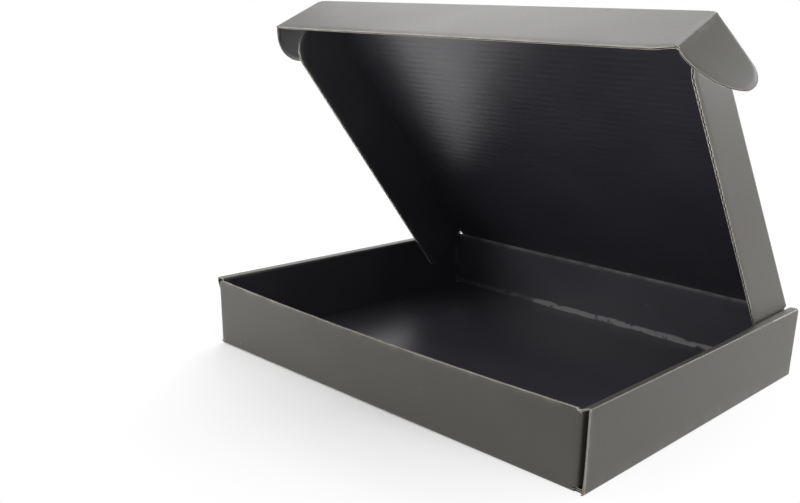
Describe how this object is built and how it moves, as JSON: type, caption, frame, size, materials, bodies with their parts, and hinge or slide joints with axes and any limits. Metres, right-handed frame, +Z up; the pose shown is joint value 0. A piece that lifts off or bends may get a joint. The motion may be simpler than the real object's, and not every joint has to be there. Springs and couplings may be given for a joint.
{
  "type": "corrugated mailer box",
  "caption": "Black corrugated mailer box standing open: tray with rolled side walls, hinged lid with dust flaps, and a tuck front with rounded ears that closes it.",
  "frame": {"origin": "centre of the tray's underside", "axes": "+Z up, +X to the box's right along the front wall, front wall towards -Y, lid hinge towards +Y"},
  "size_m": [0.4662, 0.32, 0.3071],
  "materials": {
    "black_board": "satin"
  },
  "bodies": {
    "tray": {"tray": "black_board"},
    "lid": {"lid": "black_board"},
    "tuck_front": {"tuck_front": "black_board"},
    "left_ear": {"left_ear": "black_board"},
    "right_ear": {"right_ear": "black_board"},
    "left_dust_flap": {"left_dust_flap": "black_board"},
    "right_dust_flap": {"right_dust_flap": "black_board"}
  },
  "joints": [
    {"name": "lid_hinge", "type": "hinge", "parent": "tray", "child": "lid", "pos_m": [0, 0.1585, 0.062], "axis": [-1, 0, 0], "range_deg": [-39, 129]},
    {"name": "tuck_fold", "type": "hinge", "parent": "lid", "child": "tuck_front", "pos_m": [0, -0.03879, 0.30563], "axis": [-1, 0, 0], "range_deg": [-14, 76]},
    {"name": "left_ear_fold", "type": "hinge", "parent": "tuck_front", "child": "left_ear", "pos_m": [-0.2025, -0.06417, 0.2938], "axis": [0, 0.9063, 0.4226], "range_deg": [-28, 62]},
    {"name": "right_ear_fold", "type": "hinge", "parent": "tuck_front", "child": "right_ear", "pos_m": [0.2025, -0.06417, 0.2938], "axis": [0, -0.9063, -0.4226], "range_deg": [-43, 47]},
    {"name": "left_dust_flap_fold", "type": "hinge", "parent": "lid", "child": "left_dust_flap", "pos_m": [-0.1963, 0.05869, 0.18287], "axis": [0, 0.6293, -0.7771], "range_deg": [-80, 0]},
    {"name": "right_dust_flap_fold", "type": "hinge", "parent": "lid", "child": "right_dust_flap", "pos_m": [0.1963, 0.05869, 0.18287], "axis": [0, -0.6293, 0.7771], "range_deg": [-80, 0]}
  ]
}
